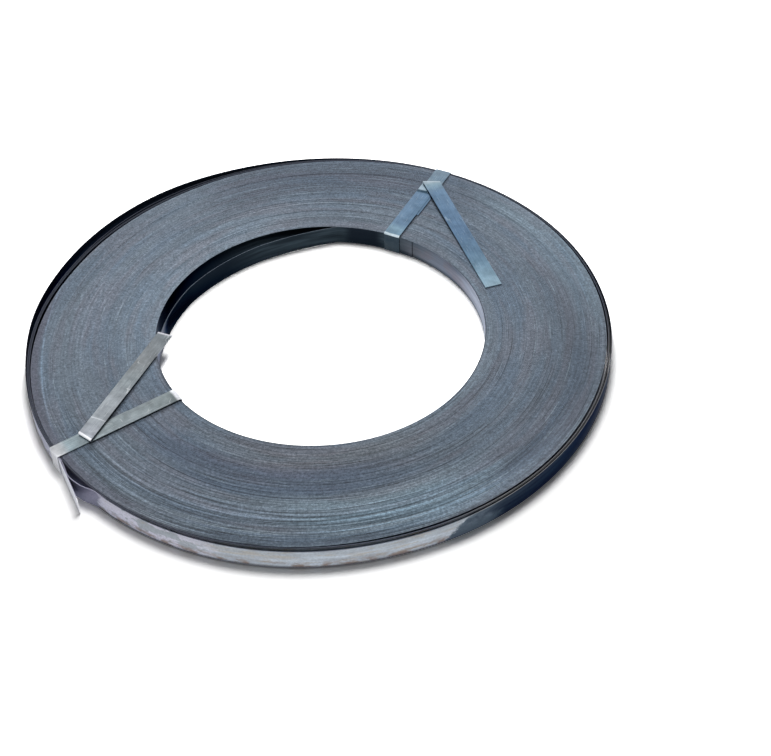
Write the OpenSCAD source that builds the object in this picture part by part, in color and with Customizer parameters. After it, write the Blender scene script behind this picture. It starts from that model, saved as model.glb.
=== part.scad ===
/* [Strap] */
// Width of the strap, which is the height of the coil
strap_w = 25.4; // [16:0.1:32]
// Thickness of the strap
strap_t = 0.8; // [0.5:0.05:1]

/* [Coil] */
// Diameter of the bore
bore_d = 406; // [300:1:500]
// Radial thickness of the tight winding
wound_t = 154.5; // [120:0.5:200]
// Turns that share one level on the ends of the coil
ring_turns = 4; // [3:1:8]
// Most that a turn stands out of line with the others
ring_relief = 0.6; // [0.1:0.05:1]
// Gap between two loose turns where a tie holds them
turn_gap = 0.15; // [0.1:0.05:0.3]

/* [Innermost turn] */
// Where the inner end of the strap lies
inner_end_a = 51; // [45:0.5:56]
// Where the innermost turn leaves the bore wall
inner_off_a = 81; // [76:0.5:86]
// Where it meets the bore wall again
inner_on_a = 188; // [184:0.5:192]
// Most that it stands off the bore wall
inner_slack = 18.5; // [8:0.5:24]

/* [Outer end] */
// Length of the free end past the left tie
free_len = 66; // [20:1:90]
// Angle by which the free end turns away from the rim
free_turn = 11.5; // [4:0.5:18]
// Length along which the turn beneath follows it, before it turns back
follow_len = 31; // [10:1:40]
// Length in which that turn comes back to the rim
return_len = 37; // [25:1:60]

/* [Ties] */
// Thickness of both ties
tie_t = 0.8; // [0.5:0.05:1.2]
// Room between a tie and the coil, and between its layers
tie_fit = 0.1; // [0.05:0.05:0.3]
// Inner radius of the bends of a tie
bend_r = 0.3; // [0.1:0.05:0.3]
// Inner radius of the fold at a tie's lock
fold_r = 1.2; // [0.4:0.1:2]
// Width of the right tie
right_w = 22; // [16:0.5:24]
// Place of the right tie round the coil
right_a = 59.5; // [57:0.5:64]
// Radius at which the right tie folds back
right_fold_r = 326; // [310:1:335]
// Radius at which the under layer of the right tie is cut off
right_under_r = 255; // [230:1:290]
// How far the under layer of the right tie lies off the upper one
right_shift = -2.5; // [-4:0.5:4]
// Angle between the right tie and its tail
right_tail_a = 44.6; // [30:0.2:60]
// Length of the right tail
right_tail_len = 232; // [120:1:240]
// Width of the left tie
left_w = 19.5; // [16:0.5:24]
// Place of the left tie round the coil
left_a = 211; // [205:0.5:213]
// Radius at which the left tie folds back
left_fold_r = 322; // [310:1:335]
// Radius at which the under layer of the left tie is cut off
left_under_r = 262; // [230:1:290]
// How far the under layer of the left tie lies off the upper one
left_shift = -1.5; // [-4:0.5:4]
// Angle between the left tie and its tail
left_tail_a = 32.6; // [25:0.2:60]
// Length of the left tail
left_tail_len = 192; // [120:1:240]

/* [Hidden] */
$fn = 96;
steel_blue = [0.43, 0.49, 0.55];
tie_blue = [0.40, 0.54, 0.68];
tie_grey = [0.60, 0.63, 0.64];

bore_r = bore_d / 2;
wound_r = bore_r + wound_t;
pitch = strap_t + turn_gap;
bend_steps = 10;
// Pieces of one solid run into each other by this much
lap = 0.3;
// Height of the coil's lowest edge, which lies on the ties
coil_z = tie_t + tie_fit;
coil_top = coil_z + strap_w + ring_relief;

function at(r, a) = [r * cos(a), r * sin(a)];
// Values from a up to b, in n even steps, without b itself
function spread(a, b, n) = [for (i = [0:n - 1]) a + (b - a) * i / n];
function reverse(list) = [for (i = [len(list) - 1:-1:0]) list[i]];
// Points along a round bend of an outline
function bend(c, r, a, b) = [for (i = [0:bend_steps]) c + at(r, a + (b - a) * i / bend_steps)];

// Centre of the circle through three points
function centre(p, q, s) =
    let (a = q - p, b = s - p, d = 2 * (a.x * b.y - a.y * b.x), aa = a * a, bb = b * b)
    p + [b.y * aa - a.y * bb, a.x * bb - b.x * aa] / d;

// Radius from the axis, in direction a, of the circle through radii r at the places p
function arc_r(a, p, r) =
    let (pts = [for (i = [0:2]) at(r[i], p[i])], c = centre(pts[0], pts[1], pts[2]),
         along = c * at(1, a), across = c * at(1, a + 90))
    along + sqrt(pow(norm(pts[0] - c), 2) - pow(across, 2));

// Level of each ring of turns: it wanders a little and never repeats
function level(i) = ring_relief * (0.5 + 0.32 * sin(i * 137.5) + 0.18 * sin(i * 61));

// Angle at the axis that a length along the rim takes up
function rim_a(length) = length / wound_r * 180 / PI;
// How far a strap that leaves the rim with the free end is off it by then
function off_rim(length) = length * sin(free_turn) + pow(length, 2) / (2 * wound_r);

// Edge of the left tie, where the free end and the turn beneath it come out
release_a = left_a + rim_a(left_w / 2 + 1);
follow_a = release_a + rim_a(follow_len);
return_a = follow_a + rim_a(return_len);
follow_off = off_rim(follow_len) - 3 * turn_gap;

// The places where the shape of the rim is given, from the right tie round to itself
stations = [right_a, 84, 104, 128, 150, 168, 188,
            release_a, (release_a + follow_a) / 2, follow_a, (follow_a + return_a) / 2, return_a,
            262, 285, 325, 360, right_a + 360];
// How far the tight winding is drawn in at each of them
drawn_in = [0, 4.5, 8.5, 13.2, 14, 9.8, 3.8, 0, 0, 0, 0, 0, 4.6, 8.5, 8.5, 6.5, 0];
// How far each loose turn stands off what is inside it at each of them
stand_off = [
    [0, 0.3, 0.6, 1.2, 2.8, 2.8, 0.6, 0, 0, 0, 0, 0, 0.4, 1.9, 1.7, 0.9, 0],
    [0, 0.3, 0.4, 0.6, 0.5, 0.4, 0.2, 0, 0, 0, 0, 0, 0.4, 0.3, 0.3, 0.3, 0],
    [0, 0.5, 1.4, 3, 1.2, 0.5, 0.2,
     0, off_rim(follow_len / 2) - 2 * turn_gap, follow_off, 0.77 * follow_off, 0.2, 3.4, 2.4, 0.9, 1.6, 0],
    [0, 2.8, 6.6, 12.4, 10.9, 6.4, 0.8, 0]
];
last_turn = len(stand_off) - 1;
// Angle that one straight piece of a loose turn spans, at most
facet_a = 2.5;
// The angles at which each loose turn is drawn
bearings = [for (s = [0:len(stations) - 2]) each
    spread(stations[s], stations[s + 1], max(2, ceil((stations[s + 1] - stations[s]) / facet_a)))];

// Slope of the values v at place i, with no overshoot on either side of it
function slope(v, i) = i == 0 || i == len(v) - 1 ? 0 :
    let (before = (v[i] - v[i - 1]) / (stations[i] - stations[i - 1]),
         after = (v[i + 1] - v[i]) / (stations[i + 1] - stations[i]))
    before * after > 0 ? 2 * before * after / (before + after) : 0;
// Smooth curve through the values v at the stations
function smooth(a, v, i = 0) = a > stations[i + 1] ? smooth(a, v, i + 1) :
    let (h = stations[i + 1] - stations[i], t = (a - stations[i]) / h)
    pow(1 - t, 2) * ((1 + 2 * t) * v[i] + t * h * slope(v, i))
    + pow(t, 2) * ((3 - 2 * t) * v[i + 1] - (1 - t) * h * slope(v, i + 1));

function wound_edge(a) = wound_r - smooth(a, drawn_in);
function room(turn, a) = turn < 0 ? 0 : smooth(a, stand_off[turn]) + room(turn - 1, a);
// Radius of a loose turn's inner face
function loose_r(turn, a) =
    wound_edge(a) + turn_gap + pitch * (turn + (a - right_a) / 360) + room(turn, a);
// Points of a loose turn's inner face, or of its outer face with t added
function run(turn, t) = [for (a = bearings) if (turn < last_turn || a < release_a)
                         at(loose_r(turn, a) + t, a)];

// The tight winding, whose turns show as steps on both ends; the last ring is
// the one that is drawn in at the rim
module winding() {
    ring_w = ring_turns * strap_t;
    rings = floor((wound_t - max(drawn_in)) / ring_w);
    function ring_r(i) = bore_r + i * ring_w;
    top = [for (i = [0:rings - 1]) for (k = [0, 1]) [ring_r(i + k), strap_w + level(i)]];
    bottom = [for (i = [rings - 1:-1:0]) for (k = [1, 0]) [ring_r(i + k), level(i)]];
    translate([0, 0, coil_z]) rotate_extrude($fn = 360) polygon(concat(top, bottom));
    translate([0, 0, coil_z + level(rings)]) linear_extrude(strap_w) difference() {
        polygon([for (a = bearings) at(wound_edge(a), a)]);
        circle(ring_r(rings) - lap, $fn = 360);
    }
}

// The loose turns: one strap that leaves the winding under the right tie, goes
// round outside it and ends in the free end, just past the left tie
module loose_strap() {
    release_r = loose_r(last_turn, release_a);
    along = at(1, release_a + 90 - free_turn);
    inner = concat([for (turn = [0:last_turn]) each run(turn, 0)], [at(release_r, release_a)]);
    outer = concat([for (turn = [0:last_turn]) each run(turn, strap_t)],
                   [at(release_r + strap_t, release_a)]);
    tip = [for (r = [release_r, release_r + strap_t]) at(r, release_a) + free_len * along];
    translate([0, 0, coil_z + level(last_turn)]) linear_extrude(strap_w)
        polygon(concat(inner, tip, reverse(outer)));
}

// The innermost turn: its end lies against the wall at the right tie, then it
// springs off, and from where it meets the wall again it runs on to the left tie
module innermost_turn() {
    wall = bore_r - pitch;
    span = inner_on_a - inner_off_a;
    // Shares of the span, and of the slack, that the turn passes
    along = [0, 0.13, 0.29, 0.45, 0.64, 0.82, 1];
    off = [0, 0.62, 0.92, 1, 0.78, 0.52, 0];
    place = [for (s = along) inner_off_a + s * span];
    radius = [for (s = off) wall - s * inner_slack];
    function face(t) = concat(
        [for (a = spread(inner_end_a, inner_off_a, 12)) at(wall + t, a)],
        [for (s = [0, 2, 4]) for (a = spread(place[s], place[s + 2], 16))
            at(arc_r(a, [for (i = [0:2]) place[s + i]], [for (i = [0:2]) radius[s + i]]) + t, a)],
        [for (a = spread(inner_on_a, left_a, 10)) at(wall + t, a)], [at(wall + t, left_a)]);
    translate([0, 0, coil_z + level(0)]) linear_extrude(strap_w)
        polygon(concat(face(0), reverse(face(strap_t))));
}

module coil() color(steel_blue) {
    winding();
    innermost_turn();
    loose_strap();
}

// One side of a tie: its leg stands at x = 0 and its top layer runs towards +X
module side(w, depth, h) {
    r = bend_r + tie_t;
    low = [r, r];
    high = [r, h - r];
    outer = concat([[r + lap, 0]], bend(low, r, 270, 180), bend(high, r, 180, 90), [[depth, h]]);
    inner = concat([[r + lap, tie_t]], bend(low, bend_r, 270, 180), bend(high, bend_r, 180, 90),
                   [[depth, h - tie_t]]);
    translate([0, w / 2, 0]) rotate([90, 0, 0]) linear_extrude(w)
        polygon(concat(outer, reverse(inner)));
}

// The lock: the strap turns back about the fold line, which is the X axis here,
// and its tail comes down until its end lies on the coil
module lock(w, tail_a, tail_len, tail_drop) {
    fold_len = w / cos(tail_a / 2);
    reach = tail_len * cos(tail_a / 2);
    drop_a = asin(tail_drop / reach);
    axis = [0, fold_r + tie_t];
    end = [cos(drop_a), -sin(drop_a)] * (reach + w);
    outer = concat([[2 * lap, 0]], bend(axis, fold_r + tie_t, 270, 90 - drop_a));
    inner = concat([[2 * lap, tie_t]], bend(axis, fold_r, 270, 90 - drop_a));
    slope = w / 2 * tan(tail_a / 2);
    along = at(tail_len, 90 + tail_a / 2);
    across = at(w / 2, tail_a / 2);
    intersection() {
        rotate([90, 0, 90]) translate([0, 0, -2 * tail_len]) linear_extrude(4 * tail_len)
            polygon(concat(outer, [outer[len(outer) - 1] + end, inner[len(inner) - 1] + end],
                           reverse(inner)));
        translate([0, 0, -2 * tail_drop]) linear_extrude(4 * tail_drop)
            polygon([[-fold_len / 2, -w], [fold_len / 2, -w], [fold_len / 2, 0],
                     along + across, along - across, [-fold_len / 2, 0]]);
    }
}

// A tie: one strap round the section, its inner layer folded back as a tail
module tie(w, rim_r, fold_at, under_at, shift, tail_a, tail_len) {
    r = bend_r + tie_t;
    // Outer faces of the leg in the bore and of the leg at the rim
    inner_x = sqrt(pow(bore_r - pitch, 2) - w * w / 4) - tie_fit - tie_t;
    outer_x = rim_r + tie_fit + tie_t;
    under_z = coil_top + tie_fit;
    upper_z = under_z + tie_t + tie_fit;
    // The fold line halves the angle between the band and its tail
    fold_a = (180 + tail_a) / 2;

    // Bore side: leg and upper layer, up to the fold line
    intersection() {
        translate([inner_x, 0, 0]) side(w, fold_at - inner_x + w, upper_z + tie_t);
        translate([fold_at, 0, 0]) rotate([0, 0, fold_a])
            translate([-fold_at, lap / 2, -1]) cube([2 * fold_at, fold_at, 2 * coil_top]);
    }
    // Rim side: leg and under layer, to its cut end
    translate([outer_x, shift, 0]) mirror([1, 0, 0]) side(w, outer_x - under_at, under_z + tie_t);
    // Bottom
    linear_extrude(tie_t) polygon([[inner_x + r, w / 2], [outer_x - r, shift + w / 2],
                                   [outer_x - r, shift - w / 2], [inner_x + r, -w / 2]]);
    translate([fold_at, 0, upper_z]) rotate([0, 0, fold_a])
        lock(w, tail_a, tail_len, upper_z + tie_t + 2 * fold_r - coil_top - tie_fit);
}

module tie_right() color(tie_blue) rotate([0, 0, right_a])
    tie(right_w, loose_r(last_turn, right_a) + strap_t, right_fold_r, right_under_r, right_shift,
        right_tail_a, right_tail_len);

module tie_left() color(tie_grey) rotate([0, 0, left_a])
    tie(left_w, loose_r(last_turn, release_a) + strap_t, left_fold_r, left_under_r, left_shift,
        left_tail_a, left_tail_len);

coil();
tie_right();
tie_left();
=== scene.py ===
import bpy
import math
from mathutils import Matrix, Vector, noise


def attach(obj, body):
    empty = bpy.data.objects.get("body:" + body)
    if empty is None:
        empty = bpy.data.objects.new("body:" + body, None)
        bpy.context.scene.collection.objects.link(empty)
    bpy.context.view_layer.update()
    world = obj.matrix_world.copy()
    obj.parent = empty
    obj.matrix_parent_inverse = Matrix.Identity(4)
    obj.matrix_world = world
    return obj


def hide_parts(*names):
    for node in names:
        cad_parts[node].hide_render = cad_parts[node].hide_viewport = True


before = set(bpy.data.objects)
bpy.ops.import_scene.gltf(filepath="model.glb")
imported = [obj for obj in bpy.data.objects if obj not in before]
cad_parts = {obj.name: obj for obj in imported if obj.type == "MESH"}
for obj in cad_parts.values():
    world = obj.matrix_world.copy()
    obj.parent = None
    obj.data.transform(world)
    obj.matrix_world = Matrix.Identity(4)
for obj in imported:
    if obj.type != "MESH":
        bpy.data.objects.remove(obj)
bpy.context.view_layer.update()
print("frame loaded:", sorted(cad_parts))


def pick(piece=None):
    # object mode, with only this piece selected, or nothing
    if bpy.context.mode != "OBJECT":
        bpy.ops.object.mode_set(mode="OBJECT")
    bpy.ops.object.select_all(action="DESELECT")
    if piece is not None:
        piece.select_set(True)
        bpy.context.view_layer.objects.active = piece


def applyModifier(piece, kind, **settings):
    pick(piece)
    step = piece.modifiers.new(kind.lower(), kind)
    for name, value in settings.items():
        setattr(step, name, value)
    bpy.ops.object.modifier_apply(modifier=step.name)


def smoothSides(piece, angle=32):
    pick(piece)
    bpy.ops.object.shade_smooth_by_angle(angle=math.radians(angle))


def giveSteels(piece, side, edge, steep=0.7):
    # the faces that look up or down are the cut edges of the strap
    piece.data.materials.append(side)
    piece.data.materials.append(edge)
    for face in piece.data.polygons:
        if abs(face.normal.z) > steep:
            face.material_index = 1
    smoothSides(piece)


view = {
    "lens": 69.76,
    "place": (0, -1.38798, 1.23984),
    "right": (0.99677, -0.07719, -0.02219),
    "up": (0.06901, 0.68174, 0.72833),
    "back": (-0.04109, -0.72751, 0.68487),
}

cameraData = bpy.data.cameras.new("camera")
cameraData.lens = view["lens"]
cameraData.clip_start = 0.01
camera = bpy.data.objects.new("camera", cameraData)
bpy.context.scene.collection.objects.link(camera)
turnedAxes = Matrix((view["right"], view["up"], view["back"])).transposed()
camera.matrix_world = Matrix.Translation(view["place"]) @ turnedAxes.to_4x4()
bpy.context.scene.camera = camera
bpy.context.scene.view_settings.view_transform = "Standard"


def add(tree, kind, inputs=None, **settings):
    made = tree.nodes.new("ShaderNode" + kind)
    for name, value in settings.items():
        setattr(made, name, value)
    for name, value in (inputs or {}).items():
        if isinstance(value, bpy.types.NodeSocket):
            tree.links.new(value, made.inputs[name])
        else:
            made.inputs[name].default_value = value
    return made


def calc(tree, operation, *values):
    return add(tree, "Math", dict(enumerate(values)), operation=operation).outputs[0]


def ramp(tree, value, stops):
    # each stop gives a colour, or one number for a grey
    made = add(tree, "ValToRGB", {0: value})
    while len(made.color_ramp.elements) < len(stops):
        made.color_ramp.elements.new(0.5)
    for element, (place, colour) in zip(made.color_ramp.elements, stops):
        element.position = place
        element.color = (*colour, 1) if isinstance(colour, tuple) else (colour, colour, colour, 1)
    return made.outputs[0]


def mix(tree, amount, first, second, blend="MIX"):
    made = add(tree, "Mix", data_type="RGBA", blend_type=blend)
    sockets = [s for s in made.inputs if s.enabled]
    for socket, value in zip(sockets, (amount, first, second)):
        if isinstance(value, bpy.types.NodeSocket):
            tree.links.new(value, socket)
        elif isinstance(value, tuple):
            socket.default_value = (*value, 1)
        else:
            socket.default_value = value
    return [s for s in made.outputs if s.enabled][0]


def times(tree, colour, tone, amount=1.0):
    return mix(tree, amount, colour, tone, "MULTIPLY")


def rise(tree, value, fromTo, ease="LINEAR"):
    # 0 at the first number and 1 at the second
    start, end = fromTo
    return add(tree, "MapRange", {"Value": value, "From Min": start, "From Max": end},
               interpolation_type=ease).outputs[0]


def noiseOf(tree, where, scale, detail=3.0, rough=0.5):
    return add(tree, "TexNoise", {"Vector": where, "Scale": scale, "Detail": detail,
                                  "Roughness": rough}).outputs[0]


def scaled(tree, vector, factor):
    made = add(tree, "VectorMath", {0: vector}, operation="SCALE")
    made.inputs["Scale"].default_value = factor
    return made.outputs[0]


def flatPlace(tree):
    # the place, the same place without its height, and the height
    place = add(tree, "TexCoord").outputs["Object"]
    split = add(tree, "SeparateXYZ", {0: place})
    flat = add(tree, "CombineXYZ", {0: split.outputs[0], 1: split.outputs[1]}).outputs[0]
    return place, flat, split.outputs[2]


def roundTheAxis(tree):
    # the place, the direction from the coil's axis, and the height
    place, flat, height = flatPlace(tree)
    way = add(tree, "VectorMath", {0: flat}, operation="NORMALIZE").outputs[0]
    return place, way, height


def streaks(tree, way, across, pattern):
    # noise that is long round the coil and short across it; the shift sets one
    # pattern apart from the others
    roundScale, acrossScale, detail, rough, shift = pattern
    if shift:
        across = calc(tree, "ADD", across, shift)
    lift = add(tree, "CombineXYZ", {2: calc(tree, "MULTIPLY", across, acrossScale)}).outputs[0]
    where = add(tree, "VectorMath", {0: scaled(tree, way, roundScale), 1: lift},
                operation="ADD").outputs[0]
    return noiseOf(tree, where, 1.0, detail, rough)


def facing(tree, way, angle):
    # 1 on the side of the coil that this angle gives, -1 on the far side
    side = (math.cos(math.radians(angle)), math.sin(math.radians(angle)), 0)
    return add(tree, "VectorMath", {0: way, 1: side}, operation="DOT_PRODUCT").outputs["Value"]


def sector(tree, way, place, wobble=None, wander=0.06):
    # 1 inside a sector of the coil and 0 outside; its place is the angle of its
    # middle, half its width and the width of its soft edge, in degrees
    angle, half, soft = place
    side = facing(tree, way, angle)
    if wobble is not None:
        side = calc(tree, "MULTIPLY_ADD", calc(tree, "SUBTRACT", wobble, 0.5), wander, side)
    edge = math.cos(math.radians(half))
    inner = math.cos(math.radians(max(0, half - soft)))
    return rise(tree, side, (edge, inner), "SMOOTHSTEP")


def turnOf(tree):
    return add(tree, "Attribute", attribute_name="turn").outputs["Fac"]


def newSteel(name, roughness, metallic=1.0):
    material = bpy.data.materials.new(name)
    material.use_nodes = True
    tree = material.node_tree
    shader = tree.nodes["Principled BSDF"]
    shader.inputs["Metallic"].default_value = metallic
    shader.inputs["Roughness"].default_value = roughness
    return material, tree, shader


def addBump(tree, shader, height, strength, depth):
    bump = add(tree, "Bump", {"Height": height, "Strength": strength, "Distance": depth})
    tree.links.new(bump.outputs[0], shader.inputs["Normal"])


winding = {
    "boreRadius": 0.203,
    "rimRadius": 0.3575,
    "bottom": 0.0009,
    "width": 0.0254,
    "turns": 188,
    "around": 128,
    "relief": 0.00036,
    "slowStep": 0.11,
    "fastStep": 0.83,
    "sway": 0.00006,
    "easeFrom": 0.25,
    "easePower": 1.5,
    "mergeWithin": 0.000001,
}
# the attribute "turn" of each mesh counts the turns outwards from the bore wall
marks = {
    "inmost": -0.5,
    "loose": winding["turns"],
    "outmost": winding["turns"] + 2,
    "free": winding["turns"] + 3.5,
}

slitLook = {
    "base": (0.092, 0.116, 0.145),
    "warm": (0.096, 0.110, 0.137),
    "cool": (0.079, 0.106, 0.141),
    "pale": (0.165, 0.210, 0.250),
    # gap is the colour of painted shade in the gaps between turns, and also the dark along the bore
    # and on the innermost turn's edge
    "gap": (0.022, 0.030, 0.044),
    "leftShade": (0.066, 0.070, 0.093),
    "brown": (0.072, 0.072, 0.076),
    "navy": (0.022, 0.026, 0.040),
    "proudHighlight": (1.35, 1.42, 1.45),
    "dimShadeTint": (0.64, 0.67, 0.72),
    "frontTint": (1.8, 1.8, 1.7),
    "roughness": 0.52,
    "metallic": 0.35,
    "bump": (0.5, 0.0003),
    "rubbedInFront": 0.14,
    "leftShadeShare": 0.85,
    "looseShare": 0.9,
    "inmostShare": 0.6,
    # scale round the coil, scale across the turns, detail, roughness, shift
    "patterns": {
        "zones": (1.3, 0.03, 3.0, 0.5, 0),
        "warm": (2.2, 0.05, 4.0, 0.5, 300),
        "single": (2.6, 3.7, 2.0, 0.5, 0),
        "groups": (2.0, 0.30, 3.0, 0.5, 0),
        "bold": (1.9, 0.28, 4.0, 0.62, 4000),
        "low": (1.7, 2.9, 1.0, 0.5, 700),
        "wearAndHighlight": (2.8, 3.1, 2.0, 0.5, 1200),
    },
    # scale, detail, roughness
    "grain": (340.0, 5.0, 0.78),
    "mottled": (170.0, 3.0, 0.5),
    # tones and shares by the value of the pattern or of the distance
    "stops": {
        "zones": [(0.38, 0.0), (0.60, 1.0)],
        "warm": [(0.46, 0.0), (0.62, 0.9)],
        "single": [(0.25, 0.78), (0.5, 1.0), (0.78, 1.22)],
        "groups": [(0.3, 0.84), (0.5, 1.0), (0.7, 1.14)],
        "bold": [(0.36, 0.40), (0.5, 0.98), (0.64, 1.66)],
        "low": [(0.63, 1.0), (0.71, 0.42)],
        "wearAndHighlight": [(0.65, 0.0), (0.74, 0.8)],
        "slip": [(0.35, 1.0), (1.0, 0.0)],
        "proud": [(0.08, 1.0), (0.20, 0.0)],
        "verge": [(0.10, 0.75), (0.28, 0.0)],
        "brink": [(0.13, 0.8), (0.20, 0.0)],
        "grain": [(0.34, 0.62), (0.5, 0.98), (0.66, 1.46)],
        "mottled": [(0.35, 0.86), (0.65, 1.14)],
        "gap": [(0.42, 0.0), (0.5, 0.38)],
        "loose": [(0.0, 0.35), (1.0, 1.9)],
    },
    # turns over which each of these comes in
    "turns": {
        "bold": (90.0, 140.0),
        "wearAndHighlight": (120.0, 168.0),
        "leftShade": (172.0, 180.0),
        "dim": (166.0, 182.0),
    },
    "sectors": {
        "bold": (255, 62, 36),
        "low": (280, 100, 40),
        "wearAndHighlight": (272, 62, 40),
        "slip": (250, 36, 26),
        "leftShade": (196, 42, 22),
        "proud": (183, 27, 10),
        "dim": (263, 26, 16),
        "verge": (222, 34, 20),
        "brink": (-4, 46, 24),
        "brown": (325, 38, 24),
        "front": (284, 24, 12),
        "loop": (218, 9, 3),
    },
    # lines across the turns: the side each bows towards, by how many turns, and
    # the turn that it bows from
    "slipLine": (290, 7.0, 94.0),
    "proudLine": (188, -150.0, 321.0),
    # where the turns are lighter or darker than the rest
    "zones": [
        {"angle": 145, "half": 62, "turn": 15, "reach": 75, "tint": (1.33, 1.32, 1.29)},
        {"angle": 80, "half": 44, "turn": 148, "reach": 92, "tint": (0.57, 0.58, 0.62)},
        {"angle": 250, "half": 46, "turn": 66, "reach": 44, "tint": (0.68, 0.71, 0.80)},
        {"angle": 268, "half": 38, "turn": 30, "reach": 34, "tint": (1.12, 1.02, 0.95)},
        {"angle": 268, "half": 34, "turn": 108, "reach": 34, "tint": (1.22, 1.22, 1.18)},
        {"angle": 283, "half": 27, "turn": 144, "reach": 54, "tint": (1.22, 1.38, 1.38)},
        {"angle": 300, "half": 24, "turn": 172, "reach": 26, "tint": (1.32, 1.38, 1.40)},
        {"angle": 308, "half": 44, "turn": 4, "reach": 22, "tint": (1.26, 1.25, 1.23)},
        {"angle": 352, "half": 34, "turn": 120, "reach": 70, "tint": (0.80, 0.81, 0.82)},
        {"angle": 332, "half": 42, "turn": 160, "reach": 66, "tint": (0.76, 0.76, 0.78)},
        {"angle": 20, "half": 34, "turn": 170, "reach": 50, "tint": (1.22, 1.28, 1.26)},
        {"angle": 160, "half": 40, "turn": 100, "reach": 40, "tint": (1.18, 1.17, 1.17)},
    ],
    "zoneSoftness": 0.8,
    "zoneWander": 0.25,
    "zoneDrift": 50.0,
}


def slitRamp(tree, value, name):
    return ramp(tree, value, slitLook["stops"][name])


def slitStreaks(tree, way, turn, name):
    # one of the patterns across the turns, as its tones or shares
    return slitRamp(tree, streaks(tree, way, turn, slitLook["patterns"][name]), name)


def slitSector(tree, way, name, wobble=None):
    return sector(tree, way, slitLook["sectors"][name], wobble)


def nearTheRim(tree, way, turn, name, wobble=None):
    # 1 in a sector of the coil and beyond some turns
    return calc(tree, "MULTIPLY", rise(tree, turn, slitLook["turns"][name]),
                slitSector(tree, way, name, wobble))


def offLine(tree, way, turn, line):
    # how many turns away a line across the turns is
    angle, bow, start = line
    middle = calc(tree, "MULTIPLY_ADD", facing(tree, way, angle), bow, start)
    return calc(tree, "ABSOLUTE", calc(tree, "SUBTRACT", turn, middle))


def patchOf(tree, way, turn, zone, wobble):
    # a soft patch of tint round one place on the turns
    place = (zone["angle"], zone["half"], zone["half"] * slitLook["zoneSoftness"])
    side = sector(tree, way, place, wobble, slitLook["zoneWander"])
    moved = calc(tree, "MULTIPLY_ADD", calc(tree, "SUBTRACT", wobble, 0.5),
                 slitLook["zoneDrift"], turn)
    off = calc(tree, "ABSOLUTE", calc(tree, "SUBTRACT", moved, zone["turn"]))
    return calc(tree, "MULTIPLY", side, rise(tree, off, (zone["reach"], 0.0), "SMOOTHSTEP"))


def tintTheZones(tree, way, turn, zones):
    colour = mix(tree, slitRamp(tree, zones, "zones"), slitLook["cool"], slitLook["base"])
    colour = mix(tree, slitStreaks(tree, way, turn, "warm"), colour, slitLook["warm"])
    for zone in slitLook["zones"]:
        colour = times(tree, colour, zone["tint"], patchOf(tree, way, turn, zone, zones))
    return colour


def toneTheTurns(tree, way, turn, colour):
    # single turns, each with its own tone that comes and goes round the coil
    eachTurn = calc(tree, "FLOOR", calc(tree, "ADD", turn, 0.001))
    colour = times(tree, colour, slitStreaks(tree, way, eachTurn, "single"))
    colour = times(tree, colour, slitStreaks(tree, way, turn, "groups"))
    # bolder bands near the rim in front
    colour = times(tree, colour, slitStreaks(tree, way, turn, "bold"),
                   nearTheRim(tree, way, turn, "bold"))
    # here and there a turn lies low, in painted shade, and here and there one is rubbed bright for
    # part of its way
    low = mix(tree, slitSector(tree, way, "low"), (1.0, 1.0, 1.0),
              slitStreaks(tree, way, eachTurn, "low"))
    colour = times(tree, colour, low)
    wearAndHighlight = streaks(tree, way, eachTurn, slitLook["patterns"]["wearAndHighlight"])
    front = calc(tree, "MULTIPLY", slitSector(tree, way, "wearAndHighlight"),
                 rise(tree, turn, slitLook["turns"]["wearAndHighlight"]))
    wearAndHighlight = calc(tree, "MULTIPLY_ADD", front, slitLook["rubbedInFront"], wearAndHighlight)
    return mix(tree, slitRamp(tree, wearAndHighlight, "wearAndHighlight"), colour, slitLook["pale"])


def toneThePlaces(tree, way, turn, zones, colour):
    # painted shade in one long gap where a turn has slipped down
    slip = slitRamp(tree, offLine(tree, way, turn, slitLook["slipLine"]), "slip")
    slip = calc(tree, "MULTIPLY", slip, slitSector(tree, way, "slip"))
    colour = mix(tree, slip, colour, slitLook["gap"])
    # painted shade: the turns next to the rim are duller on the left
    leftShade = nearTheRim(tree, way, turn, "leftShade")
    colour = mix(tree, calc(tree, "MULTIPLY", leftShade, slitLook["leftShadeShare"]), colour,
                 slitLook["leftShade"])
    # a painted highlight beside them, a light line where a few turns stand proud
    proud = calc(tree, "MULTIPLY", offLine(tree, way, turn, slitLook["proudLine"]), 0.1)
    proud = calc(tree, "MULTIPLY", slitRamp(tree, proud, "proud"),
                 slitSector(tree, way, "proud"))
    colour = times(tree, colour, slitLook["proudHighlight"], proud)
    # painted shade, dim before the gap in front
    colour = times(tree, colour, slitLook["dimShadeTint"], nearTheRim(tree, way, turn, "dim", zones))
    # dark along the bore, in a broad line at the lower left and a thin one at the right
    tenths = calc(tree, "MULTIPLY", turn, 0.1)
    for name in ("verge", "brink"):
        dark = calc(tree, "MULTIPLY", slitRamp(tree, tenths, name), slitSector(tree, way, name))
        colour = mix(tree, dark, colour, slitLook["gap"])
    return colour


def looseTops(tree, way, turn):
    # tops of the loose turns: brown at the lower right and navy elsewhere, one turn
    # lighter than the next, and lighter in front
    top = mix(tree, slitSector(tree, way, "brown"), slitLook["navy"], slitLook["brown"])
    wave = calc(tree, "SUBTRACT", turn, marks["loose"] + 0.7)
    wave = calc(tree, "COSINE", calc(tree, "MULTIPLY", wave, math.pi))
    top = times(tree, top, slitRamp(tree, calc(tree, "MULTIPLY_ADD", wave, 0.5, 0.5), "loose"))
    return times(tree, top, slitLook["frontTint"], slitSector(tree, way, "front"))


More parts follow.
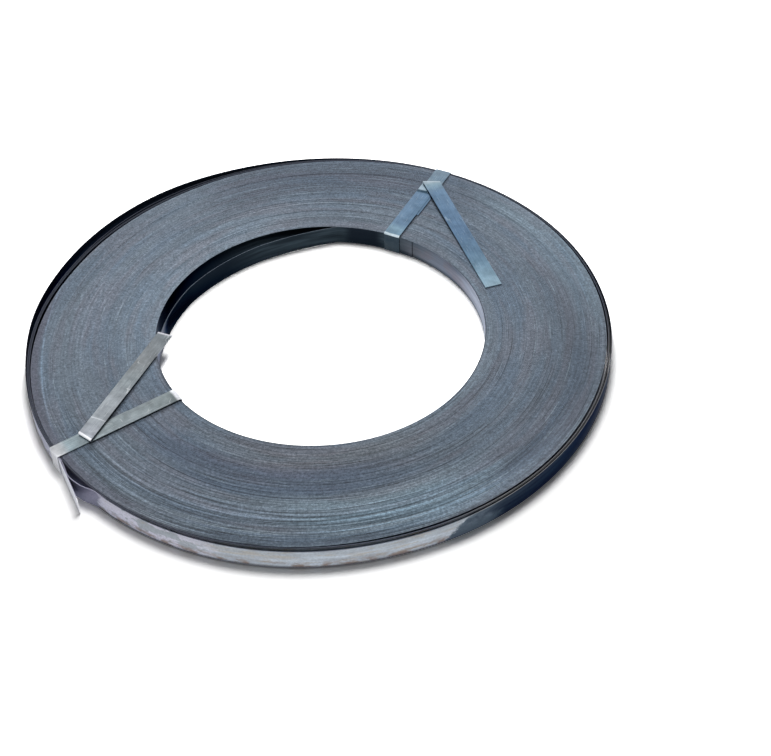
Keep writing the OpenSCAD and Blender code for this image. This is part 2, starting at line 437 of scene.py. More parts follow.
def slitEdgeSteel():
    # cut edges of all the turns, which make the top of the coil
    material, tree, shader = newSteel("slitEdgeSteel", slitLook["roughness"], slitLook["metallic"])
    place, way = roundTheAxis(tree)[:2]
    turn = turnOf(tree)
    zones = streaks(tree, way, turn, slitLook["patterns"]["zones"])
    colour = tintTheZones(tree, way, turn, zones)
    colour = toneTheTurns(tree, way, turn, colour)
    colour = toneThePlaces(tree, way, turn, zones, colour)
    grain = noiseOf(tree, place, *slitLook["grain"])
    colour = times(tree, colour, slitRamp(tree, grain, "grain"))
    mottled = noiseOf(tree, place, *slitLook["mottled"])
    colour = times(tree, colour, slitRamp(tree, mottled, "mottled"))
    # painted shade in the gap between two turns of the tight winding
    fromMiddle = calc(tree, "ABSOLUTE", calc(tree, "SUBTRACT", calc(tree, "FRACT", turn), 0.5))
    tight = calc(tree, "LESS_THAN", turn, marks["loose"])
    gap = calc(tree, "MULTIPLY", slitRamp(tree, fromMiddle, "gap"), tight)
    colour = mix(tree, gap, colour, slitLook["gap"])
    apart = calc(tree, "MULTIPLY", calc(tree, "SUBTRACT", 1.0, tight), slitLook["looseShare"])
    colour = mix(tree, apart, colour, looseTops(tree, way, turn))
    # the outer loose turns are pale beside the left tie, and the innermost turn is dark
    loop = calc(tree, "MULTIPLY", calc(tree, "GREATER_THAN", turn, marks["outmost"]),
                slitSector(tree, way, "loop"))
    colour = mix(tree, loop, colour, rimLook["purple"])
    inmostEdge = calc(tree, "MULTIPLY", calc(tree, "LESS_THAN", turn, 0.0),
                      slitLook["inmostShare"])
    colour = mix(tree, inmostEdge, colour, slitLook["gap"])
    tree.links.new(colour, shader.inputs["Base Color"])
    addBump(tree, shader, grain, *slitLook["bump"])
    return material


rimLook = {
    "lilac": (0.56, 0.56, 0.65),
    "grey": (0.36, 0.39, 0.43),
    "light": (0.50, 0.56, 0.63),
    "sandy": (0.42, 0.40, 0.37),
    "tan": (0.26, 0.20, 0.17),
    "purple": (0.27, 0.27, 0.35),
    "middle": (0.105, 0.135, 0.170),
    "navy": (0.031, 0.043, 0.062),
    "shade": (0.012, 0.013, 0.030),
    "freeEndHighlight": (0.92, 0.92, 0.95),
    # the next colour is painted shade at the foot
    "low": (0.115, 0.125, 0.150),
    "grazing": (0.30, 0.33, 0.38, 1),
    "roughness": 0.42,
    "patterns": {
        "band": (5.0, 300.0, 3.0, 0.5, 0),
        "patch": (14.0, 75.0, 4.0, 0.6, 0),
        "stain": (24.0, 170.0, 3.0, 0.6, 4.0),
        "swept": (6.0, 210.0, 4.0, 0.6, 7.0),
        "sand": (9.0, 230.0, 3.0, 0.6, 9.0),
        "ragged": (60.0, 260.0, 3.0, 0.7, 12.0),
    },
    "speckle": (420.0, 3.0, 0.5),
    "stops": {
        "blotch": [(0.57, 0.0), (0.60, 1.0)],
        "swept": [(0.36, 0.0), (0.62, 1.0)],
        "sand": [(0.52, 0.0), (0.62, 0.75)],
        "stain": [(0.62, 0.0), (0.68, 0.5)],
        "lowStain": [(0.46, 0.0), (0.58, 0.9)],
        "blued": [(0.35, 0.4), (0.7, 1.3)],
        "speckle": [(0.35, 0.90), (0.65, 1.08)],
        "end": [(0.0, 0.0), (0.014, 1.0)],
        # by ten times the height
        "lowEdge": [(0.05, 1.0), (0.12, 0.0)],
        "heightShading": [(0.05, 1.2), (0.15, 1.02), (0.26, 0.74)],
        "foot": [(0.02, 0.85), (0.05, 0.0)],
    },
    "sectors": {
        "streaked": (284, 42, 12),
        "middle": (288, 14, 9),
        "purple": (217, 12, 3),
        "bandLeg": (204, 13, 4),
    },
    # blotches grow towards one side; the two ends of the rubbed part
    "blotchSide": 300,
    "blotchDrift": 0.10,
    "rightEnd": 202,
    "leftEnd": 314,
    "endWobble": 0.06,
    "endSlant": 3.4,
    "midHeight": 0.013,
}


def rimRamp(tree, value, name):
    return ramp(tree, value, rimLook["stops"][name])


def rimStreaks(tree, way, height, name):
    return streaks(tree, way, height, rimLook["patterns"][name])


def rimSector(tree, way, name, wobble=None):
    return sector(tree, way, rimLook["sectors"][name], wobble)


def rubbedPale(tree, way, height, patch):
    # blotches with a clear outline at the left, long streaks in front
    drift = calc(tree, "MULTIPLY_ADD", facing(tree, way, rimLook["blotchSide"]),
                 rimLook["blotchDrift"], patch)
    pale = mix(tree, rimRamp(tree, drift, "blotch"), rimLook["lilac"], rimLook["grey"])
    swept = rimRamp(tree, rimStreaks(tree, way, height, "swept"), "swept")
    streaked = mix(tree, swept, rimLook["grey"], rimLook["light"])
    sand = rimRamp(tree, rimStreaks(tree, way, height, "sand"), "sand")
    streaked = mix(tree, sand, streaked, rimLook["sandy"])
    pale = mix(tree, rimSector(tree, way, "streaked"), pale, streaked)
    stain = rimStreaks(tree, way, height, "stain")
    pale = mix(tree, rimRamp(tree, stain, "stain"), pale, rimLook["sandy"])
    # stained along the lower edge; painted shading makes it darker towards the top, and painted
    # shade makes it dull at the foot
    tall = calc(tree, "MULTIPLY", height, 10.0)
    lowEdge = calc(tree, "MULTIPLY", rimRamp(tree, tall, "lowEdge"),
                   rimRamp(tree, stain, "lowStain"))
    pale = mix(tree, lowEdge, pale, rimLook["tan"])
    pale = times(tree, pale, rimRamp(tree, tall, "heightShading"))
    return mix(tree, rimRamp(tree, tall, "foot"), pale, rimLook["low"])


def wornPart(tree, way, height, patch):
    # the rubbed part ends slanting at the right and upright at the left
    ragged = rimStreaks(tree, way, height, "ragged")
    wobble = calc(tree, "SUBTRACT", calc(tree, "ADD", patch, ragged), 1.0)
    wobble = calc(tree, "MULTIPLY", wobble, rimLook["endWobble"])
    fromMiddle = calc(tree, "SUBTRACT", height, rimLook["midHeight"])
    slant = calc(tree, "MULTIPLY_ADD", fromMiddle, rimLook["endSlant"], wobble)
    rightEnd = calc(tree, "ADD", facing(tree, way, rimLook["rightEnd"]), slant)
    leftEnd = calc(tree, "ADD", facing(tree, way, rimLook["leftEnd"]), wobble)
    worn = calc(tree, "MULTIPLY", rimRamp(tree, rightEnd, "end"), rimRamp(tree, leftEnd, "end"))
    return calc(tree, "MAXIMUM", worn, rimSector(tree, way, "bandLeg"))


def rimSteel():
    # sides of the loose turns: rubbed pale in front, dark blued on the other sides
    material, tree, shader = newSteel("rimSteel", rimLook["roughness"])
    shader.inputs["Specular Tint"].default_value = rimLook["grazing"]
    place, way, height = roundTheAxis(tree)
    patch = rimStreaks(tree, way, height, "patch")
    band = rimRamp(tree, rimStreaks(tree, way, height, "band"), "blued")
    blued = mix(tree, band, rimLook["shade"], rimLook["navy"])
    blued = mix(tree, rimSector(tree, way, "middle", patch), blued, rimLook["middle"])
    blued = mix(tree, rimSector(tree, way, "purple"), blued, rimLook["purple"])
    colour = mix(tree, wornPart(tree, way, height, patch), blued,
                 rubbedPale(tree, way, height, patch))
    # a painted highlight makes the free end near-white
    free = calc(tree, "GREATER_THAN", turnOf(tree), marks["free"] - 0.05)
    colour = mix(tree, free, colour, rimLook["freeEndHighlight"])
    speckle = noiseOf(tree, place, *rimLook["speckle"])
    colour = times(tree, colour, rimRamp(tree, speckle, "speckle"))
    tree.links.new(colour, shader.inputs["Base Color"])
    return material


boreLook = {
    "teal": (0.030, 0.044, 0.056),
    "dark": (0.012, 0.018, 0.024),
    "black": (0.008, 0.012, 0.018),
    "lavender": (0.335, 0.375, 0.470),
    "rosy": (0.340, 0.340, 0.405),
    "bright": (0.70, 0.74, 0.84),
    "roughness": 0.34,
    "band": (3.0, 200.0, 3.0, 0.5, 0),
    "patch": (9.0, 60.0, 4.0, 0.5, 0),
    "stops": {
        "band": [(0.35, 0.0), (0.65, 1.0)],
        "rosy": [(0.44, 0.0), (0.58, 1.0)],
        "paleBand": [(0.3, 0.7), (0.7, 1.15)],
        # by thirty times the height
        "top": [(0.35, 0.0), (0.80, 0.45)],
        "foot": [(0.09, 0.5), (0.21, 0.0)],
    },
    "sectors": {
        "back": (152, 42, 22),
        "tieShade": (71, 8, 4),
        "bright": (-14, 44, 30),
        "paleRight": (-10, 72, 56),
        "paleLeft": (198, 30, 18),
        "top": (42, 24, 16),
    },
}


def boreSteel():
    # sides of the winding and of the innermost turn: dark at the back of the bore,
    # pale at the right and at the left
    material, tree, shader = newSteel("boreSteel", boreLook["roughness"])
    shader.inputs["Specular Tint"].default_value = rimLook["grazing"]
    stops, sectors = boreLook["stops"], boreLook["sectors"]
    way, height = roundTheAxis(tree)[1:]
    band = streaks(tree, way, height, boreLook["band"])
    patch = streaks(tree, way, height, boreLook["patch"])
    colour = mix(tree, ramp(tree, band, stops["band"]), boreLook["dark"], boreLook["teal"])
    colour = mix(tree, sector(tree, way, sectors["back"], patch), colour, boreLook["black"])
    colour = mix(tree, sector(tree, way, sectors["tieShade"]), colour, boreLook["black"])
    pale = mix(tree, ramp(tree, patch, stops["rosy"]), boreLook["lavender"], boreLook["rosy"])
    pale = mix(tree, sector(tree, way, sectors["bright"], patch), pale, boreLook["bright"])
    pale = times(tree, pale, ramp(tree, band, stops["paleBand"]))
    for name in ("paleRight", "paleLeft"):
        colour = mix(tree, sector(tree, way, sectors[name], patch), colour, pale)
    # darker along the top next to the right tie, and painted shade along the foot
    tall = calc(tree, "MULTIPLY", height, 30.0)
    top = calc(tree, "MULTIPLY", ramp(tree, tall, stops["top"]),
               sector(tree, way, sectors["top"]))
    colour = mix(tree, top, colour, boreLook["teal"])
    colour = mix(tree, ramp(tree, tall, stops["foot"]), colour, boreLook["dark"])
    tree.links.new(colour, shader.inputs["Base Color"])
    return material


slitSteel = slitEdgeSteel()
outerSteel = rimSteel()
innerSteel = boreSteel()


# angles of the two ties in degrees, between which the loose turns stand off
ties = {"right": 59.5, "left": 211.0, "leftWidth": 0.0195}
loose = {
    "thick": 0.0008,
    "gap": 0.00015,
    "freeLength": 0.066,
    "freeTurn": 11.5,
    "freeSteps": 8,
    "follow": 0.031,
    "comeBack": 0.037,
    "bottom": 0.0012,
    "wave": 0.00025,
    "waveStep": 9,
    "waveShift": 0.7,
    "rounding": 0.00012,
    "stepAngle": 1.25,
}


def rimAngle(length):
    return math.degrees(length / winding["rimRadius"])


def offRim(length):
    return (length * math.sin(math.radians(loose["freeTurn"]))
            + length ** 2 / (2 * winding["rimRadius"]))


release = ties["left"] + rimAngle(ties["leftWidth"] / 2 + 0.001)
follow = release + rimAngle(loose["follow"])
comeBack = follow + rimAngle(loose["comeBack"])
followOff = offRim(loose["follow"]) - 3 * loose["gap"]
stations = [ties["right"], 84, 104, 128, 150, 168, 188,
            release, (release + follow) / 2, follow, (follow + comeBack) / 2, comeBack,
            262, 285, 325, 360, ties["right"] + 360]
# by how much the tight winding is drawn in at each station, in mm
drawnIn = [0, 4.5, 8.5, 13.2, 14, 9.8, 3.8, 0, 0, 0, 0, 0, 4.6, 8.5, 8.5, 6.5, 0]
# and how far each loose turn stands off what is inside it, in mm
standOff = [
    [0, 0.3, 0.6, 1.2, 2.8, 2.8, 0.6, 0, 0, 0, 0, 0, 0.4, 1.9, 1.7, 0.9, 0],
    [0, 0.3, 0.4, 0.6, 0.5, 0.4, 0.2, 0, 0, 0, 0, 0, 0.4, 0.3, 0.3, 0.3, 0],
    [0, 0.5, 1.4, 3, 1.2, 0.5, 0.2, 0, 1000 * (offRim(loose["follow"] / 2) - 2 * loose["gap"]),
     1000 * followOff, 770 * followOff, 0.2, 3.4, 2.4, 0.9, 1.6, 0],
    [0, 2.8, 6.6, 12.4, 10.9, 6.4, 0.8, 0],
]


def at(radius, angle):
    return Vector((radius * math.cos(math.radians(angle)), radius * math.sin(math.radians(angle))))


def slope(values, i):
    if i == 0 or i == len(values) - 1:
        return 0
    before = (values[i] - values[i - 1]) / (stations[i] - stations[i - 1])
    after = (values[i + 1] - values[i]) / (stations[i + 1] - stations[i])
    return 2 * before * after / (before + after) if before * after > 0 else 0


def smoothValue(angle, values):
    # smooth curve through the values at the stations, in metres
    i = 0
    while angle > stations[i + 1]:
        i += 1
    step = stations[i + 1] - stations[i]
    t = (angle - stations[i]) / step
    start = (1 - t) ** 2 * ((1 + 2 * t) * values[i] + t * step * slope(values, i))
    end = t ** 2 * ((3 - 2 * t) * values[i + 1] - (1 - t) * step * slope(values, i + 1))
    return (start + end) / 1000


def woundEdge(angle):
    turned = (angle - stations[0]) % 360 + stations[0]
    return winding["rimRadius"] - smoothValue(turned, drawnIn)


def looseRadius(turn, angle):
    pitch = loose["thick"] + loose["gap"]
    room = sum(smoothValue(angle, standOff[t]) for t in range(turn + 1))
    return woundEdge(angle) + loose["gap"] + pitch * (turn + (angle - stations[0]) / 360) + room


def arcRadius(angle, places, radii):
    # distance from the axis of the circle through three points
    p, q, s = (at(r, a) for r, a in zip(radii, places))
    a, b = q - p, s - p
    d = 2 * (a.x * b.y - a.y * b.x)
    middle = p + Vector((b.y * a.dot(a) - a.y * b.dot(b), a.x * b.dot(b) - b.x * a.dot(a))) / d
    along, across = middle.dot(at(1, angle)), middle.dot(at(1, angle + 90))
    return along + math.sqrt((p - middle).length ** 2 - across ** 2)


def markTurns(piece, values):
    layer = piece.data.attributes.new("turn", "FLOAT", "POINT")
    layer.data.foreach_set("value", values)


def ringLevel(turn):
    # some turns stand a little proud, some lie a little low
    slow = noise.noise(Vector((turn * winding["slowStep"], 3.7, 0)))
    fast = noise.noise(Vector((turn * winding["fastStep"], 9.1, 4)))
    return winding["relief"] * min(1, max(0, 0.45 + 0.5 * slow + 0.75 * fast))


def windingSection(pitch):
    # outline of the winding: outwards over the steps of its top, back along its bottom
    rings, section = range(winding["turns"]), []
    for ring in rings:
        z = winding["bottom"] + ringLevel(ring) + winding["width"]
        section += [(winding["boreRadius"] + pitch * (ring + end), 0, z) for end in (0, 1)]
    for ring in reversed(rings):
        z = winding["bottom"] + ringLevel(ring + 500)
        section += [(winding["boreRadius"] + pitch * (ring + end), 0, z) for end in (1, 0)]
    return section


def makeWinding():
    pitch = (winding["rimRadius"] - winding["boreRadius"]) / winding["turns"]
    section, turns = windingSection(pitch), []
    pick()
    bpy.ops.mesh.primitive_circle_add(vertices=len(section), radius=winding["boreRadius"])
    piece = bpy.context.object
    piece.name = "tightWinding"
    for vertex, point in zip(piece.data.vertices, section):
        vertex.co = point
    bpy.ops.object.mode_set(mode="EDIT")
    bpy.ops.mesh.select_all(action="SELECT")
    bpy.ops.mesh.spin(steps=winding["around"], angle=math.radians(360), center=(0, 0, 0),
                      axis=(0, 0, 1))
    bpy.ops.mesh.select_all(action="SELECT")
    bpy.ops.mesh.remove_doubles(threshold=winding["mergeWithin"])
    bpy.ops.mesh.normals_make_consistent(inside=False)
    bpy.ops.object.mode_set(mode="OBJECT")
    for vertex in piece.data.vertices:
        radius = math.hypot(vertex.co.x, vertex.co.y)
        angle = math.degrees(math.atan2(vertex.co.y, vertex.co.x))
        turn = (radius - winding["boreRadius"]) / pitch
        turns.append(turn)
        # levels change slowly round the coil
        sway = noise.noise(Vector((1.3 * vertex.co.x / radius, 1.3 * vertex.co.y / radius,
                                   0.3 * math.floor(turn + 0.01))))
        # the outer turns are drawn in between the ties
        if radius > winding["easeFrom"]:
            share = (radius - winding["easeFrom"]) / (winding["rimRadius"] - winding["easeFrom"])
            drawn = winding["rimRadius"] - woundEdge(angle)
            eased = radius - share ** winding["easePower"] * drawn
            vertex.co.x *= eased / radius
            vertex.co.y *= eased / radius
        vertex.co.z += winding["sway"] * sway
    markTurns(piece, turns)
    giveSteels(piece, innerSteel, slitSteel)
    return piece


tightWinding = makeWinding()
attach(tightWinding, "root")
print("tight winding made:", len(tightWinding.data.polygons), "faces")


def makeRibbon(name, path, turns, bottoms):
    # one length of strap standing on edge along a path, from its middle line
    pick()
    bpy.ops.mesh.primitive_circle_add(vertices=len(path), radius=winding["rimRadius"])
    piece = bpy.context.object
    piece.name = name
    step, shift = loose["waveStep"], loose["waveShift"]
    for vertex, point, bottom in zip(piece.data.vertices, path, bottoms):
        vertex.co = (point.x, point.y, bottom)
        lift = noise.noise(Vector((step * point.x, step * point.y, shift * turns[vertex.index])))
        vertex.co.z += loose["wave"] * lift
    markTurns(piece, turns)
    # the circle is opened between its last point and its first
    last = len(path) - 1
    bpy.ops.object.mode_set(mode="EDIT")
    bpy.ops.mesh.select_all(action="DESELECT")
    bpy.ops.object.mode_set(mode="OBJECT")
    for edge in piece.data.edges:
        edge.select = set(edge.vertices) == {0, last}
    bpy.ops.object.mode_set(mode="EDIT")
    bpy.ops.mesh.select_mode(type="EDGE")
    bpy.ops.mesh.delete(type="EDGE")
    bpy.ops.mesh.select_all(action="SELECT")
    bpy.ops.mesh.extrude_edges_move(TRANSFORM_OT_translate={"value": (0, 0, winding["width"])})
    bpy.ops.object.mode_set(mode="OBJECT")
    applyModifier(piece, "SOLIDIFY", thickness=loose["thick"], offset=0, use_even_offset=True)
    pick(piece)
    bpy.ops.object.mode_set(mode="EDIT")
    bpy.ops.mesh.select_all(action="SELECT")
    bpy.ops.mesh.normals_make_consistent(inside=False)
    bpy.ops.object.mode_set(mode="OBJECT")
    applyModifier(piece, "BEVEL", width=loose["rounding"], segments=2, limit_method="ANGLE",
                  angle_limit=math.radians(50))
    return piece


def makeLooseTurns():
    half = loose["thick"] / 2
    bearings, path, turns = [], [], []
    for start, end in zip(stations, stations[1:]):
        count = max(3, math.ceil((end - start) / loose["stepAngle"]))
        bearings += [start + (end - start) * k / count for k in range(count)]
    for turn in range(4):
        for angle in bearings:
            if turn < 3 or angle < release:
                path.append(at(looseRadius(turn, angle) + half, angle))
                turns.append(winding["turns"] + turn + (angle - stations[0]) / 360)
    # the free end runs straight on from the left tie
    start = at(looseRadius(3, release) + half, release)
    way = at(1, release + 90 - loose["freeTurn"])
    for i in range(loose["freeSteps"] + 1):
        path.append(start + way * loose["freeLength"] * i / loose["freeSteps"])
        turns.append(marks["free"])
    piece = makeRibbon("looseTurns", path, turns, [loose["bottom"]] * len(path))
    giveSteels(piece, outerSteel, slitSteel)
    return piece


looseTurns = makeLooseTurns()
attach(looseTurns, "root")
print("loose turns made:", len(looseTurns.data.polygons), "faces")


inmost = {
    "endAngle": 51, "offAngle": 81, "onAngle": 188, "slack": 0.0185,
    "along": [0, 0.13, 0.29, 0.45, 0.64, 0.82, 1],
    "off": [0, 0.62, 0.92, 1, 0.78, 0.52, 0],
    "bottom": 0.0012,
    "sag": 0.0009,
    "stepAngle": 2,
    "arcSteps": 24,
}


def makeInmostTurn():
    # it lies against the wall of the bore, springs off it and comes back to it
    wall = winding["boreRadius"] - loose["thick"] - loose["gap"]
    half = loose["thick"] / 2
    span = inmost["onAngle"] - inmost["offAngle"]
    places = [inmost["offAngle"] + s * span for s in inmost["along"]]
    radii = [wall - s * inmost["slack"] for s in inmost["off"]]
    offAngles = range(inmost["endAngle"], inmost["offAngle"], inmost["stepAngle"])
    onAngles = range(inmost["onAngle"], int(ties["left"]) + 1, inmost["stepAngle"])
    path = [at(wall + half, a) for a in offAngles]
    for s in (0, 2, 4):
        for i in range(inmost["arcSteps"]):
            angle = places[s] + (places[s + 2] - places[s]) * i / inmost["arcSteps"]
            path.append(at(arcRadius(angle, places[s:s + 3], radii[s:s + 3]) + half, angle))
    path += [at(wall + half, a) for a in onAngles]
    # between the ties it sags nearly to the floor
    bottoms = []
    for point in path:
        share = (math.degrees(math.atan2(point.y, point.x)) % 360 - inmost["offAngle"]) / span
        sag = math.sin(math.pi * min(1, max(0, share))) ** 0.5
        bottoms.append(inmost["bottom"] - inmost["sag"] * sag)
    piece = makeRibbon("inmostTurn", path, [marks["inmost"]] * len(path), bottoms)
    giveSteels(piece, innerSteel, slitSteel)
    return piece


inmostTurn = makeInmostTurn()
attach(inmostTurn, "root")
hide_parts("coil")
print("innermost turn made:", len(inmostTurn.data.polygons), "faces")


# what the two ties have in common
tieLook = {
    "roughness": 0.3,
    "metallic": 0.9,
    "bump": (0.25, 0.0015),
    "bandLength": 0.365,
    "tailFrom": 0.02885,
    "rounding": 0.0002,
    "mergeWithin": 0.000002,
    "wander": 0.004,
    # scale, detail, roughness
    "wandering": (60.0, 3.0, 0.5),
    "cloud": (75.0, 5.0, 0.6),
    "crinkle": (38.0, 3.0, 0.35),
    "crinklePlaces": (70.0, 2.0, 0.5),
    "rolledScale": (14, 900, 1),
    "scratchScale": (45, 1500, 1),
    "scratchTurn": 0.7,
    "stops": {
        "rolled": [(0.3, 0.88), (0.7, 1.10)],
        "scratch": [(0.68, 0.0), (0.73, 0.6)],
        "crinkle": [(0.002, 1.0), (0.011, 0.0)],
        "crinklePlaces": [(0.52, 0.0), (0.62, 1.0)],
        "leg": [(0.775, 1.0), (0.80, 0.0)],
    },
    "creaseFrom": 0.06,
    "creaseTo": 0.115,
}


def markTheTie(tree, along, look, tone):
    # long rolling marks and a few scratches
    stops = tieLook["stops"]
    stretched = add(tree, "Mapping", {"Vector": along, "Scale": tieLook["rolledScale"]}).outputs[0]
    rolled = noiseOf(tree, stretched, 1.0, 2.0)
    tone = times(tree, tone, ramp(tree, rolled, stops["rolled"]))
    skewed = add(tree, "Mapping", {"Vector": along, "Rotation": (0, 0, tieLook["scratchTurn"]),
                                   "Scale": tieLook["scratchScale"]}).outputs[0]
    scratch = noiseOf(tree, skewed, 1.0, 1.0)
    tone = mix(tree, ramp(tree, scratch, stops["scratch"]), tone, look["scratch"])
    # a few crinkles, curved and pale
    wave = noiseOf(tree, along, *tieLook["crinkle"])
    crinkle = ramp(tree, calc(tree, "ABSOLUTE", calc(tree, "SUBTRACT", wave, 0.5)),
                   stops["crinkle"])
    where = noiseOf(tree, scaled(tree, along, -1), *tieLook["crinklePlaces"])
    crinkle = calc(tree, "MULTIPLY", crinkle, ramp(tree, where, stops["crinklePlaces"]))
    return mix(tree, calc(tree, "MULTIPLY", crinkle, look["crinkle"]), tone, look["scratch"])


def tieSteel(name, look, origin, angle, length, stops, creaseHighlight=0.0):
    # stops give the tone along this run of the tie, from its origin, and the last argument how
    # strong the painted highlight on the crease of the fold is
    material, tree, shader = newSteel(name, tieLook["roughness"], tieLook["metallic"])
    place = add(tree, "TexCoord").outputs["Object"]
    along = add(tree, "Mapping", {"Vector": place, "Location": (-origin[0], -origin[1], 0)},
                vector_type="POINT").outputs[0]
    along = add(tree, "Mapping", {"Vector": along, "Rotation": (0, 0, -math.radians(angle))},
                vector_type="POINT").outputs[0]
    split = add(tree, "SeparateXYZ", {0: along})
    far, height = split.outputs[0], split.outputs[2]
    wander = calc(tree, "SUBTRACT", noiseOf(tree, along, *tieLook["wandering"]), 0.5)
    shifted = calc(tree, "MULTIPLY_ADD", wander, tieLook["wander"], far)
    tone = ramp(tree, calc(tree, "DIVIDE", shifted, length), stops)
    cloud = noiseOf(tree, along, *tieLook["cloud"])
    clouded = [(0.3, 1 - look["cloud"]), (0.7, 1 + look["cloud"])]
    tone = times(tree, tone, ramp(tree, cloud, clouded))
    tone = markTheTie(tree, along, look, tone)
    # a painted highlight on the crease of the fold, which lies across the tail at half the angle of
    # the fold
    skew = math.radians(-look["tailAngle"] / 2)
    fromFold = add(tree, "VectorMath", {0: along, 1: (math.cos(skew), math.sin(skew), 0)},
                   operation="DOT_PRODUCT").outputs["Value"]
    crease = ramp(tree, calc(tree, "MULTIPLY", fromFold, 100.0),
                  [(tieLook["creaseFrom"], creaseHighlight), (tieLook["creaseTo"], 0.0)])
    tone = mix(tree, crease, tone, look["creaseHighlight"])
    # painted shade: the legs that stand on edge are darker
    leg = ramp(tree, calc(tree, "MULTIPLY", height, 30.0), tieLook["stops"]["leg"])
    tone = mix(tree, calc(tree, "MULTIPLY", leg, look["legShare"]), tone, look["leg"])
    tree.links.new(tone, shader.inputs["Base Color"])
    addBump(tree, shader, cloud, *tieLook["bump"])
    return material


edgeLook = {
    "roughness": 0.28,
    "wear": (90.0, 3.0, 0.5),
    "tones": [(0.38, (0.22, 0.28, 0.34)), (0.62, (0.66, 0.71, 0.76))],
}


def brightEdge():
    # worn edges of both ties, pale partly as bare steel and partly as a painted highlight
    material, tree, shader = newSteel("brightEdge", edgeLook["roughness"])
    place = add(tree, "TexCoord").outputs["Object"]
    colour = ramp(tree, noiseOf(tree, place, *edgeLook["wear"]), edgeLook["tones"])
    tree.links.new(colour, shader.inputs["Base Color"])
    return material


rightLook = {
    "angle": ties["right"], "foldAt": 0.326, "tailAngle": 44.6, "tailLength": 0.232,
    "scratch": (0.42, 0.52, 0.60), "crinkle": 0.3, "cloud": 0.2,
    # the next line gives the painted highlight on the crease of the fold
    "creaseHighlight": (0.50, 0.60, 0.66), "wearAndHighlight": 0.5,
    # the next line gives the painted shade on the legs that stand on edge
    "leg": (0.007, 0.020, 0.034), "legShare": 0.96,
    # along the band, a painted highlight on the bend at the bore edge, a painted shadow under the
    # lip of the fold and a painted highlight on the lip's facet
    "band": [(0.0, (0.18, 0.29, 0.38)), (0.548, (0.18, 0.29, 0.38)), (0.551, (0.58, 0.68, 0.74)),
             (0.555, (0.58, 0.68, 0.74)), (0.558, (0.17, 0.27, 0.36)), (0.59, (0.20, 0.31, 0.40)),
             (0.62, (0.130, 0.21, 0.31)), (0.825, (0.135, 0.220, 0.33)),
             (0.830, (0.030, 0.065, 0.10)), (0.840, (0.030, 0.065, 0.10)),
             (0.845, (0.34, 0.44, 0.52)), (0.885, (0.28, 0.37, 0.44)),
             (0.905, (0.23, 0.30, 0.36)), (0.93, (0.160, 0.235, 0.31)),
             (1.0, (0.185, 0.25, 0.315))],
    "tail": [(0.0, (0.34, 0.42, 0.48)), (0.03, (0.21, 0.31, 0.38)), (0.10, (0.125, 0.21, 0.32)),
             (0.50, (0.112, 0.190, 0.300)), (0.70, (0.122, 0.205, 0.30)),
             (0.80, (0.150, 0.245, 0.335)), (0.92, (0.235, 0.355, 0.45)),
             (1.0, (0.26, 0.37, 0.45))],
}
leftLook = {
    "angle": ties["left"], "foldAt": 0.322, "tailAngle": 32.5, "tailLength": 0.192,
    "scratch": (0.62, 0.66, 0.68), "crinkle": 0.65, "cloud": 0.27,
    # the next line gives the painted highlight on the crease of the fold
    "creaseHighlight": (0.86, 0.87, 0.91), "wearAndHighlight": 0.9,
    # the next line gives the painted shade on the legs that stand on edge
    "leg": (0.36, 0.37, 0.41), "legShare": 0.4,
    # along the band, a painted highlight on the bend at the bore edge
    "band": [(0.0, (0.20, 0.235, 0.245)), (0.551, (0.85, 0.87, 0.92)), (0.564, (0.85, 0.87, 0.92)),
             (0.569, (0.20, 0.235, 0.245)), (0.72, (0.25, 0.29, 0.31)), (0.86, (0.245, 0.29, 0.31)),
             (0.945, (0.27, 0.34, 0.375)), (0.962, (0.40, 0.425, 0.45)),
             (0.985, (0.47, 0.48, 0.50)), (1.0, (0.55, 0.57, 0.62))],
    # along the tail, painted highlights on a crease across it and at its end
    "tail": [(0.0, (0.42, 0.45, 0.50)), (0.02, (0.31, 0.33, 0.37)), (0.148, (0.31, 0.34, 0.37)),
             (0.153, (0.60, 0.63, 0.67)), (0.159, (0.30, 0.33, 0.36)), (0.35, (0.31, 0.34, 0.37)),
             (0.52, (0.245, 0.28, 0.30)), (0.70, (0.230, 0.250, 0.265)),
             (0.985, (0.165, 0.190, 0.21)), (0.993, (0.55, 0.56, 0.61))],
}

edgeSteel = brightEdge()


def makeTie(node, name, look):
    # the tie as it is folded, with its edges rounded and worn, and a painted highlight on them
    fold = at(look["foldAt"], look["angle"])
    tailWay = look["angle"] + 180 + look["tailAngle"]
    bandSteel = tieSteel(name + "Band", look, (0, 0), look["angle"], tieLook["bandLength"],
                         look["band"])
    tailSteel = tieSteel(name + "Tail", look, fold, tailWay, look["tailLength"], look["tail"],
                         look["wearAndHighlight"])
    piece = bpy.data.objects.new(name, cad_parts[node].data.copy())
    bpy.context.scene.collection.objects.link(piece)
    pick(piece)
    piece.data.materials.clear()
    for steel in (bandSteel, edgeSteel, tailSteel):
        piece.data.materials.append(steel)
    bpy.ops.object.mode_set(mode="EDIT")
    bpy.ops.mesh.select_all(action="SELECT")
    bpy.ops.mesh.remove_doubles(threshold=tieLook["mergeWithin"])
    bpy.ops.mesh.customdata_custom_splitnormals_clear()
    bpy.ops.mesh.dissolve_limited(angle_limit=math.radians(0.5))
    bpy.ops.object.mode_set(mode="OBJECT")
    # the tail lies on the band, above everything else
    for face in piece.data.polygons:
        face.material_index = 2 if face.center.z > tieLook["tailFrom"] else 0
    applyModifier(piece, "BEVEL", width=tieLook["rounding"], segments=2, limit_method="ANGLE",
                  angle_limit=math.radians(40), material=1)
    smoothSides(piece)
    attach(piece, "root")
    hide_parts(node)
    print(name, "made:", len(piece.data.polygons), "faces")


makeTie("tie_right", "rightTie", rightLook)
makeTie("tie_left", "leftTie", leftLook)


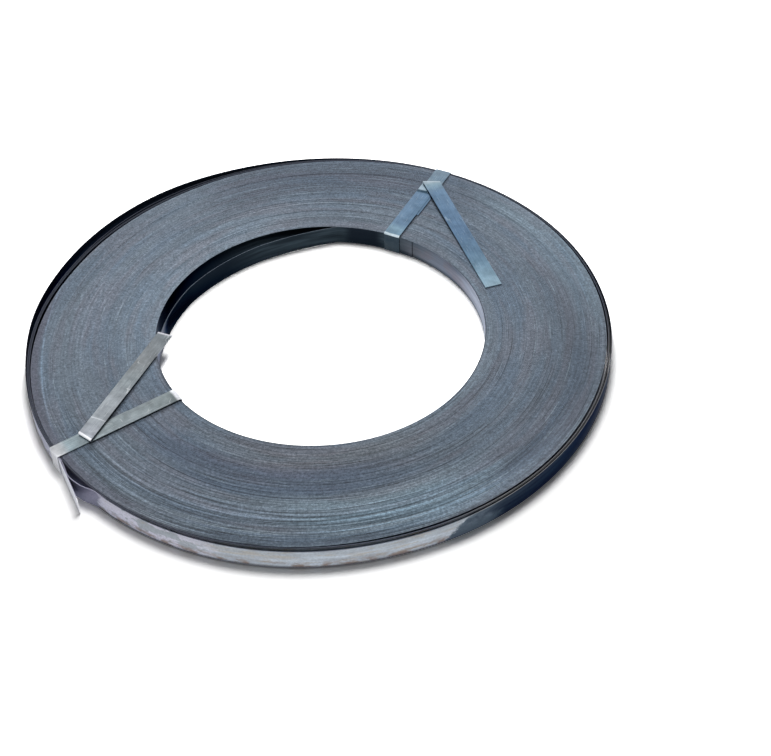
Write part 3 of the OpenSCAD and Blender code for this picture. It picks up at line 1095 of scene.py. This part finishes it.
# the floor has one tone for the light that it throws on the coil, one for the
# camera and one for gloss
stage = {
    "floorSize": 9.0,
    "floorTone": 0.5,
    "seenTone": 1.24,
    "glossTone": 0.4,
    "world": 0.08,
    "glow": 0.015,
    "sheen": 0.7,
    "runOut": (0.45, 0.9),
    "lamps": [
        {"name": "keyLamp", "size": 1.15, "power": 60, "azimuth": 78, "height": 74,
         "distance": 2.6, "inGloss": False},
        {"name": "lowLamp", "size": 0.4, "power": 164, "azimuth": 89, "height": 22.5,
         "distance": 2.6, "inGloss": False},
        {"name": "softBox", "size": 1.2, "power": 3, "azimuth": 150, "height": 60,
         "distance": 2.2, "inGloss": True},
    ],
}


def seenDirectly(tree):
    # 1 for the rays of the camera, of gloss and of glass, which show the background
    rays = add(tree, "LightPath").outputs
    either = calc(tree, "MAXIMUM", rays["Is Camera Ray"], rays["Is Glossy Ray"])
    return calc(tree, "MAXIMUM", either, rays["Is Transmission Ray"])


def makeFloor():
    pick()
    bpy.ops.mesh.primitive_plane_add(size=stage["floorSize"])
    floor = bpy.context.object
    floor.name = "floor"
    material = bpy.data.materials.new("paleFloor")
    material.use_nodes = True
    tree = material.node_tree
    tree.nodes.clear()
    seen = seenDirectly(tree)
    gloss = add(tree, "LightPath").outputs["Is Glossy Ray"]
    tone = mix(tree, seen, (stage["floorTone"],) * 3, (stage["seenTone"],) * 3)
    tone = mix(tree, gloss, tone, (stage["glossTone"],) * 3)
    matt = add(tree, "BsdfDiffuse", {"Color": tone})
    # far from the coil the floor runs out into the white background
    far = add(tree, "VectorMath", {0: flatPlace(tree)[1]}, operation="LENGTH").outputs["Value"]
    start, end = stage["runOut"]
    runOut = add(tree, "MapRange", {"Value": far, "From Min": start, "From Max": end,
                                    "To Min": stage["glow"], "To Max": 1.0},
                 interpolation_type="SMOOTHSTEP").outputs[0]
    strength = calc(tree, "MULTIPLY", seen, runOut)
    strength = calc(tree, "MULTIPLY_ADD", gloss, stage["sheen"], strength)
    glow = add(tree, "Emission", {"Color": (1, 1, 1, 1), "Strength": strength})
    both = add(tree, "AddShader", {0: matt.outputs[0], 1: glow.outputs[0]})
    add(tree, "OutputMaterial", {"Surface": both.outputs[0]})
    floor.data.materials.append(material)


def makeWorld():
    world = bpy.data.worlds.new("studio")
    world.use_nodes = True
    bpy.context.scene.world = world
    tree = world.node_tree
    tree.nodes.clear()
    strength = calc(tree, "MULTIPLY_ADD", seenDirectly(tree), 1.0 - stage["world"], stage["world"])
    back = add(tree, "Background", {"Color": (1, 1, 1, 1), "Strength": strength})
    add(tree, "OutputWorld", {"Surface": back.outputs[0]})


def makeLamp(name, size, power, azimuth, height, distance, inGloss):
    data = bpy.data.lights.new(name, "AREA")
    data.shape = "DISK"
    data.size = size
    data.energy = power
    lamp = bpy.data.objects.new(name, data)
    bpy.context.scene.collection.objects.link(lamp)
    flat = at(distance * math.cos(math.radians(height)), azimuth)
    lamp.location = (flat.x, flat.y, distance * math.sin(math.radians(height)))
    lamp.rotation_euler = (-lamp.location).to_track_quat("-Z", "Y").to_euler()
    lamp.visible_glossy = inGloss


makeFloor()
makeWorld()
for lampValues in stage["lamps"]:
    makeLamp(**lampValues)
print("stage made")
